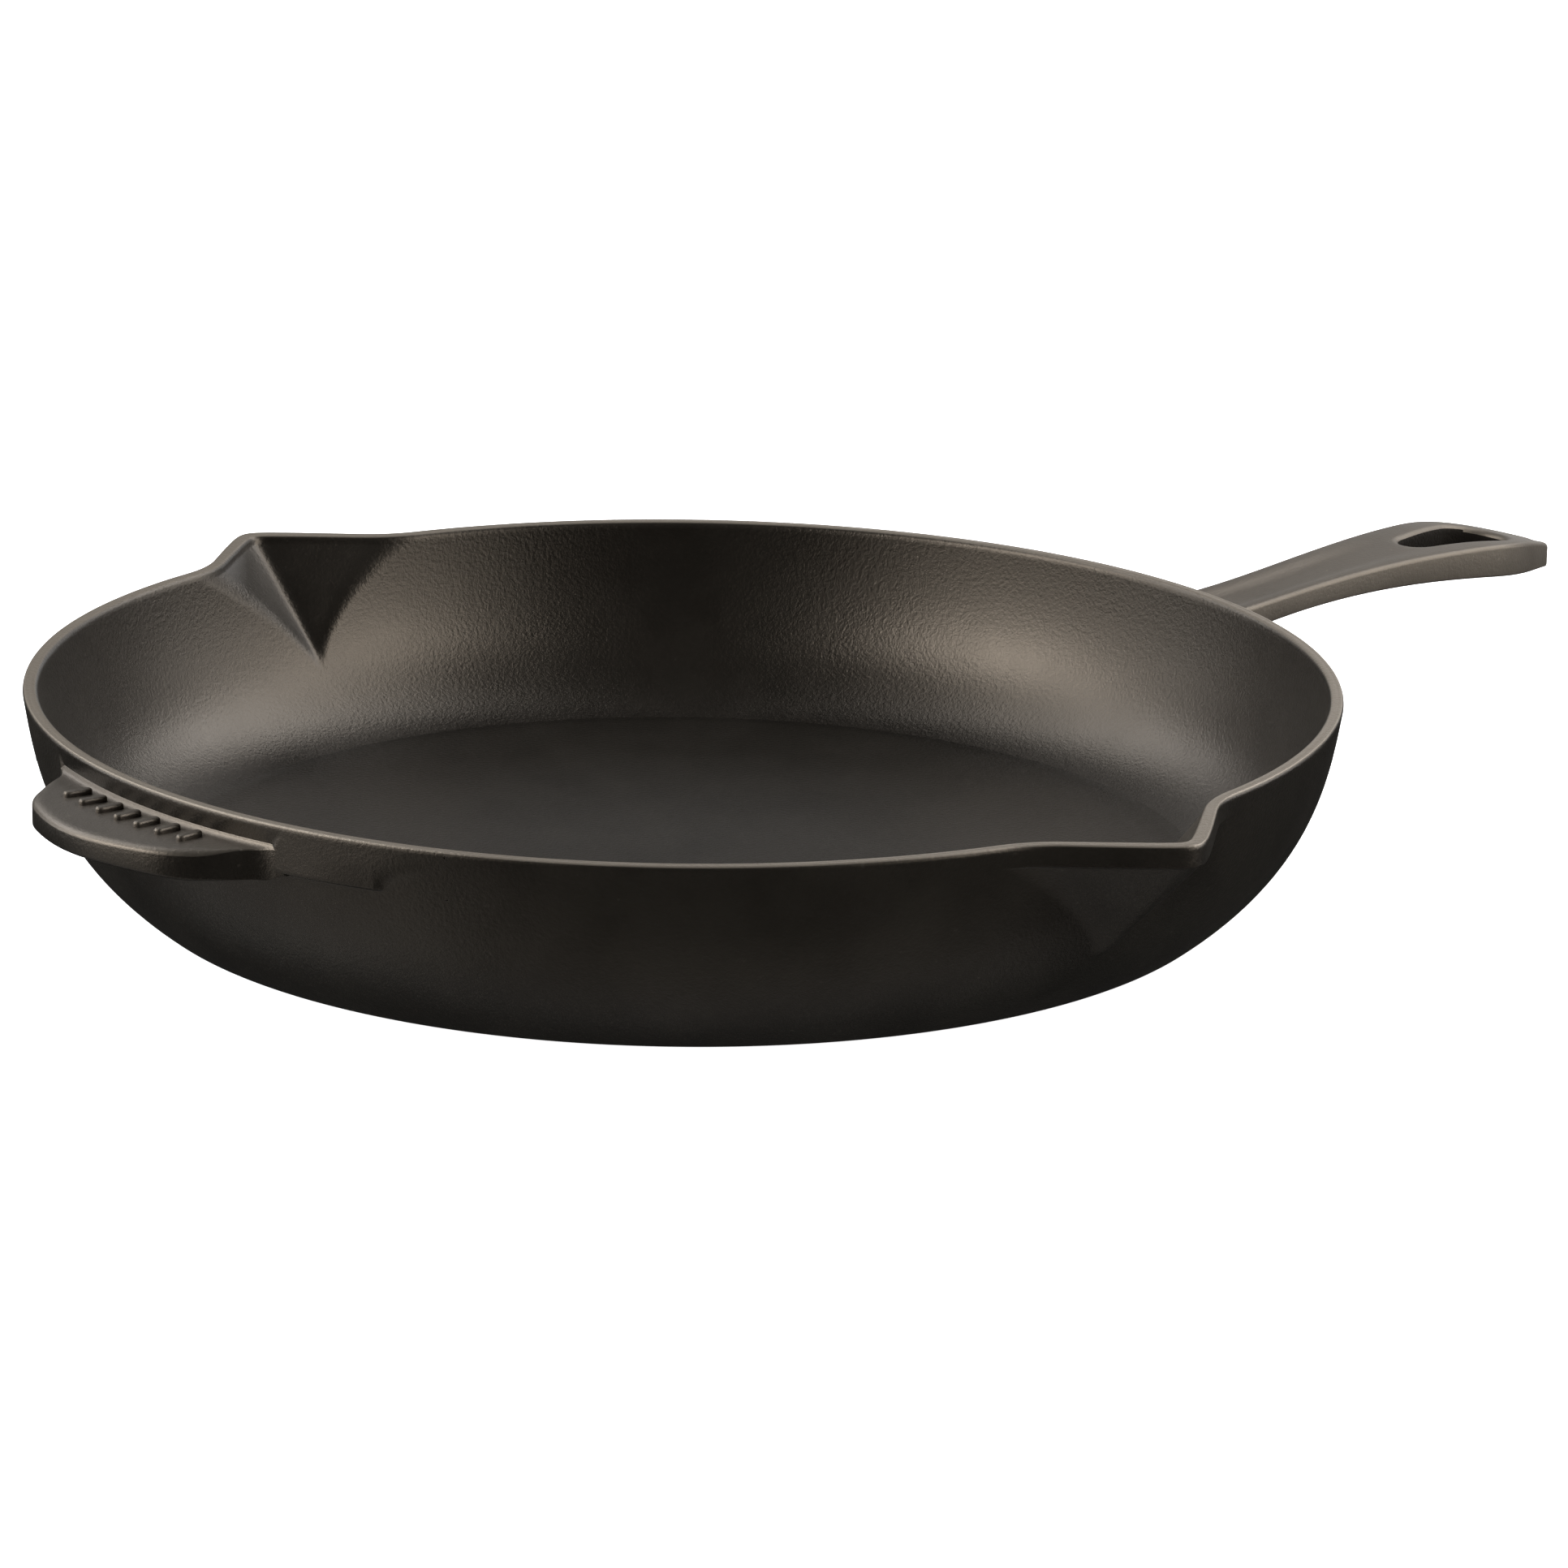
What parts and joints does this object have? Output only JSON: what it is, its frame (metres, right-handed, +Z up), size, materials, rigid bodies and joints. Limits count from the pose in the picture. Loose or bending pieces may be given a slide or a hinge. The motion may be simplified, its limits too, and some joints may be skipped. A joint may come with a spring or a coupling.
{
  "type": "cast iron skillet",
  "caption": "Round cast iron frying pan with two pouring spouts, a long handle with a hanging hole and a short helper handle.",
  "frame": {"origin": "centre of the flat base, on the surface the pan stands on", "axes": "+X out along the long handle, +Z up, the two spouts along +Y (left) and -Y (right)"},
  "size_m": [0.4598, 0.345, 0.049],
  "materials": {
    "iron_floor": "matte black, fine orange-peel texture",
    "iron_body": "matte black, fine orange-peel texture",
    "iron_handle": "matte black, smoothed by handling",
    "iron_rim": "matte, rubbed paler along the top edge"
  },
  "bodies": {
    "root": {"pan_floor": "iron_floor", "pan_wall": "iron_body", "rim_band": "iron_rim", "pour_spout_left": "iron_body", "pour_spout_right": "iron_body", "long_handle": "iron_handle", "helper_handle": "iron_handle", "helper_shoulders": "iron_body", "helper_grip_ribs": "iron_handle"}
  },
  "joints": []
}
